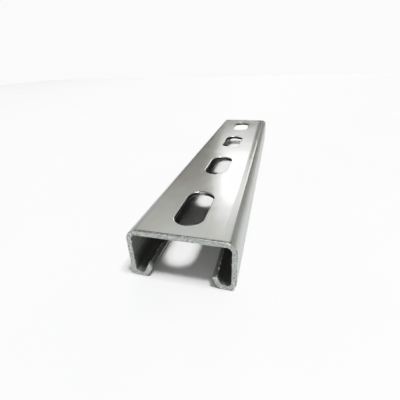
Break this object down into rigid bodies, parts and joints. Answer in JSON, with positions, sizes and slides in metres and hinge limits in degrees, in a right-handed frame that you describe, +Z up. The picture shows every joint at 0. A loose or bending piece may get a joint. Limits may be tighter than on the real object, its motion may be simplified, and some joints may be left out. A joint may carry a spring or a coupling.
{
  "type": "strut channel",
  "caption": "Shallow lipped steel channel with a row of slots in its web, for bolting brackets, pipe clamps and hangers to.",
  "frame": {"origin": "middle of the channel's length and width, on the plane its two lips rest on", "axes": "+Z up through the slotted web, +Y along the length away from the cut end nearest the first slot, X across the width"},
  "size_m": [0.041, 0.2, 0.021],
  "materials": {
    "steel": "satin mill finish, dull grey"
  },
  "bodies": {
    "root": {"strut_channel": "steel"}
  },
  "joints": []
}
